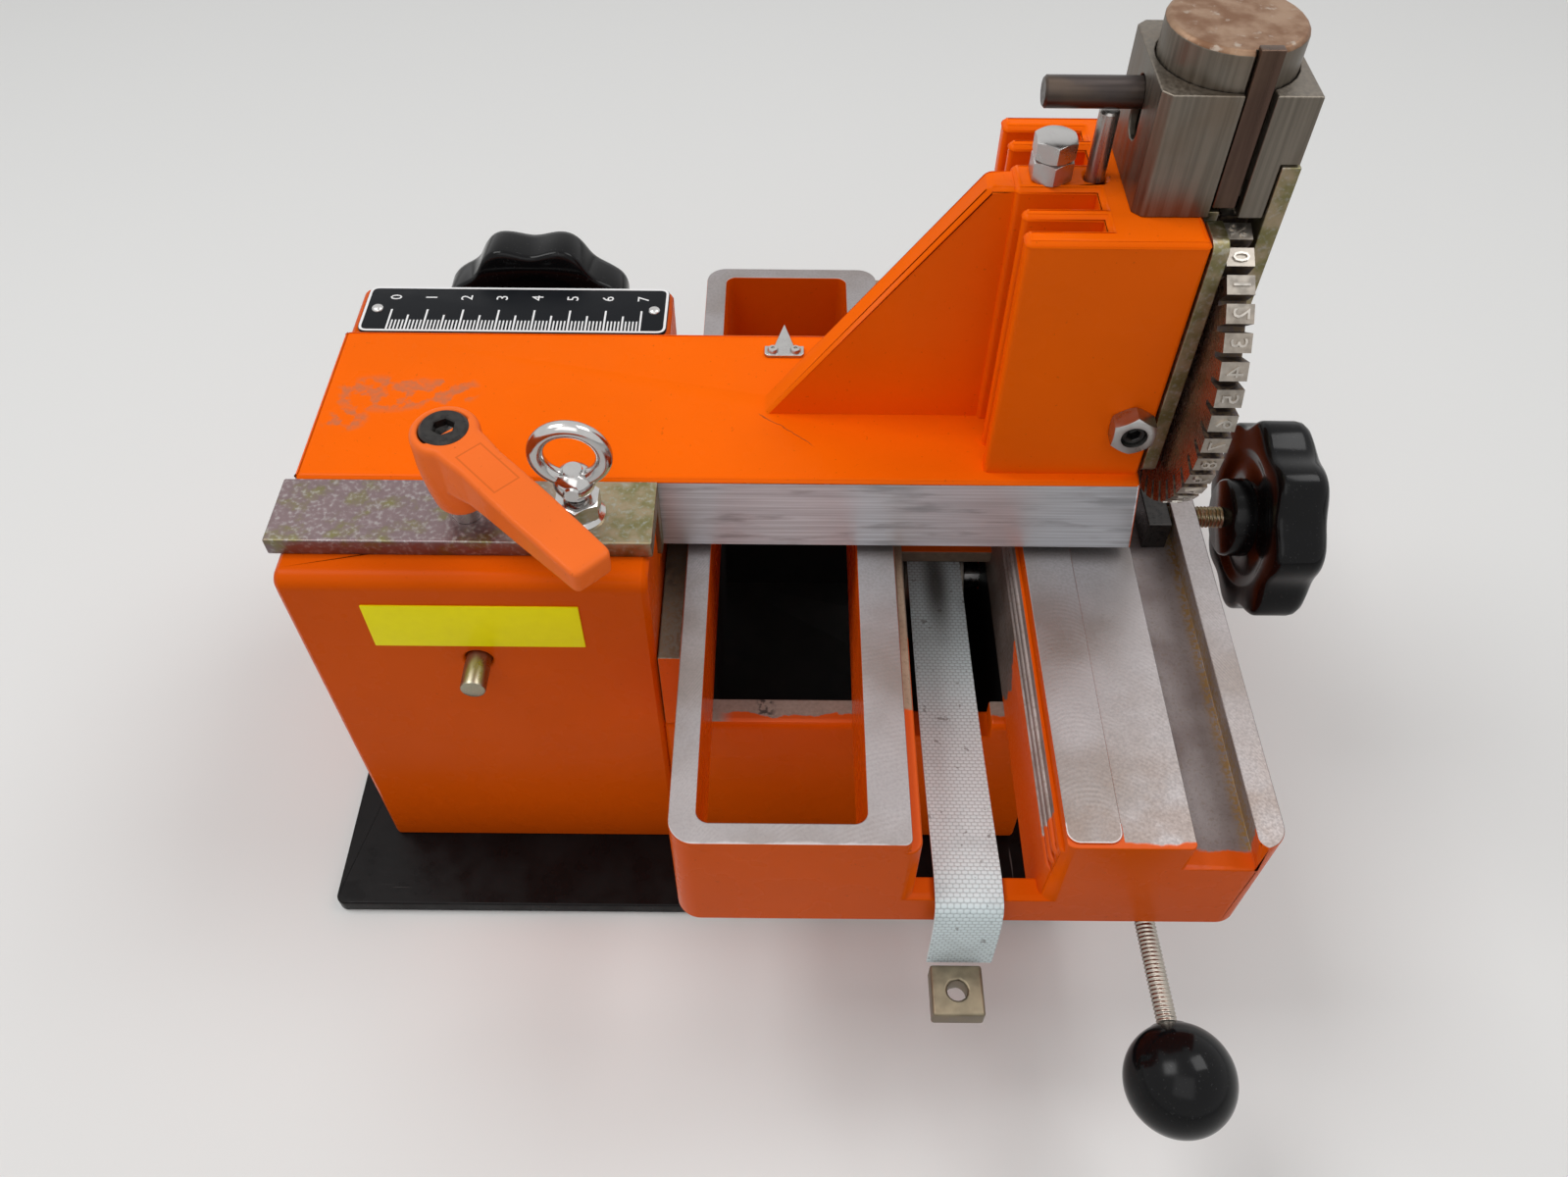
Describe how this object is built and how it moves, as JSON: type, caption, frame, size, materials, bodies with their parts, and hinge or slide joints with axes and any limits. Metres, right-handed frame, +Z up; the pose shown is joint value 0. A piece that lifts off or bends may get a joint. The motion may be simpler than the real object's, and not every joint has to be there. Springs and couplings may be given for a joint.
{
  "type": "nameplate marking machine",
  "caption": "Bench machine that stamps letters into metal nameplates: a type wheel and striking ram on a sliding arm, over a sliding clamping table.",
  "frame": {"origin": "centre of the base plate's underside", "axes": "+X to the right along the arm, +Y to the rear along the table, +Z up"},
  "size_m": [0.2743, 0.2521, 0.238],
  "materials": {
    "orange_paint": "glossy orange enamel on cast iron, chipped and scuffed",
    "table_iron": "orange enamel on the sides, milled bare top faces with a brown tint",
    "machined_iron": "machined, lightly stained",
    "black_paint": "semi-gloss black enamel, scratched",
    "zinc_plate": "yellow zinc plating with violet and green tints",
    "bright_steel": "bright nickel plated or stainless",
    "dark_steel": "ground steel with a rust-brown tint",
    "type_steel": "dark steel with bright raised letters",
    "black_oxide": "black oxide",
    "knob_plastic": "glossy moulded black plastic",
    "yellow_label": "plain printed film, no lettering",
    "scale_plate": "black printed scale plate with white marks",
    "webbing": "woven grey-green webbing"
  },
  "bodies": {
    "base": {"base_plate": "black_paint", "foot_screw_left_front": "black_oxide", "foot_screw_left_rear": "black_oxide", "foot_screw_right_front": "black_oxide", "foot_screw_right_rear": "black_oxide", "tower_casting": "orange_paint", "bed_casting": "orange_paint", "table_guide_strip": "machined_iron", "keeper_bracket": "zinc_plate", "scale_plate": "scale_plate", "scale_rivet_left": "bright_steel", "scale_rivet_right": "bright_steel", "lever_stud": "bright_steel", "eye_bolt": "bright_steel", "eye_bolt_nut": "bright_steel", "label_plate": "yellow_label", "front_pin": "zinc_plate", "drum_axle": "bright_steel", "feed_rack": "dark_steel"},
    "clamp_lever": {"clamp_lever": "orange_paint", "lever_screw": "black_oxide"},
    "rear_knob": {"rear_knob": "knob_plastic", "rear_screw": "zinc_plate"},
    "arm": {"arm_casting": "orange_paint", "pointer": "bright_steel", "pointer_screw_left": "bright_steel", "pointer_screw_right": "bright_steel", "ram_guide": "dark_steel", "stop_bolt": "bright_steel", "stop_nut": "bright_steel", "inner_wheel_plate": "zinc_plate", "outer_wheel_plate": "zinc_plate", "outer_plate_screw_front": "black_oxide", "outer_plate_screw_rear": "black_oxide", "detent_nut": "bright_steel", "detent_screw": "black_oxide"},
    "ram": {"ram": "dark_steel", "ram_key": "dark_steel", "striker_pin": "dark_steel", "wheel_axle": "bright_steel", "ram_spring": "bright_steel"},
    "type_wheel": {"type_wheel": "type_steel"},
    "step_pin": {"step_pin": "bright_steel"},
    "table": {"table_casting": "table_iron", "table_side_gib": "machined_iron", "draw_band": "webbing", "band_nut_block": "dark_steel", "lever_bracket": "black_oxide", "lever_pivot": "bright_steel"},
    "jaw": {"clamp_jaw": "black_oxide"},
    "side_knob": {"side_knob": "knob_plastic", "side_screw": "zinc_plate"},
    "ball_lever": {"release_lever": "black_oxide", "lever_rod": "zinc_plate", "ball_knob": "knob_plastic"},
    "band_drum": {"band_drum": "dark_steel"}
  },
  "joints": [
    {"name": "clamp_lever_turn", "type": "hinge", "parent": "base", "child": "clamp_lever", "pos_m": [-0.052, -0.03575, 0.151], "axis": [0, 0, 1], "range_deg": [-90, 0]},
    {"name": "rear_knob_turn", "type": "hinge", "parent": "base", "child": "rear_knob", "pos_m": [-0.049, 0.05325, 0.1165], "axis": [0, 1, 0], "continuous": true},
    {"name": "arm_slide", "type": "slide", "parent": "base", "child": "arm", "axis": [1, 0, 0], "range_m": [-0.11, 0]},
    {"name": "ram_slide", "type": "slide", "parent": "arm", "child": "ram", "axis": [0, 0, -1], "range_m": [0, 0.0065], "stiffness_N_per_m": 2000, "springref_m": -0.006, "deforming": ["ram_spring"]},
    {"name": "type_wheel_spin", "type": "hinge", "parent": "ram", "child": "type_wheel", "pos_m": [0.1197, 0.0033, 0.1598], "axis": [1, 0, 0], "continuous": true},
    {"name": "step_pin_slide", "type": "slide", "parent": "arm", "child": "step_pin", "axis": [0, 0, -1], "range_m": [0, 0.0065]},
    {"name": "table_slide", "type": "slide", "parent": "base", "child": "table", "axis": [0, 1, 0], "range_m": [-0.042, 0.042], "deforming": ["draw_band"]},
    {"name": "band_drum_turn", "type": "hinge", "parent": "base", "child": "band_drum", "pos_m": [0.07015, 0.02155, 0.044], "axis": [1, 0, 0], "range_deg": [-125, 125]},
    {"name": "jaw_slide", "type": "slide", "parent": "table", "child": "jaw", "axis": [-1, 0, 0], "range_m": [0, 0.004]},
    {"name": "side_knob_turn", "type": "hinge", "parent": "jaw", "child": "side_knob", "pos_m": [0.1425, -0.00645, 0.1035], "axis": [-1, 0, 0], "range_deg": [0, 1440]},
    {"name": "ball_lever_tilt", "type": "hinge", "parent": "table", "child": "ball_lever", "pos_m": [0.1095, -0.08275, 0.0628], "axis": [1, 0, 0], "range_deg": [0, 3], "stiffness_Nm_per_rad": 0.2, "springref_deg": -17.19}
  ],
  "couplings": [
    {"joint": "step_pin_slide", "follows": "ram_slide", "ratio": 1},
    {"joint": "band_drum_turn", "follows": "table_slide", "rad_per_m": -51.282},
    {"joint": "side_knob_turn", "follows": "jaw_slide", "rad_per_m": 6283.2}
  ]
}
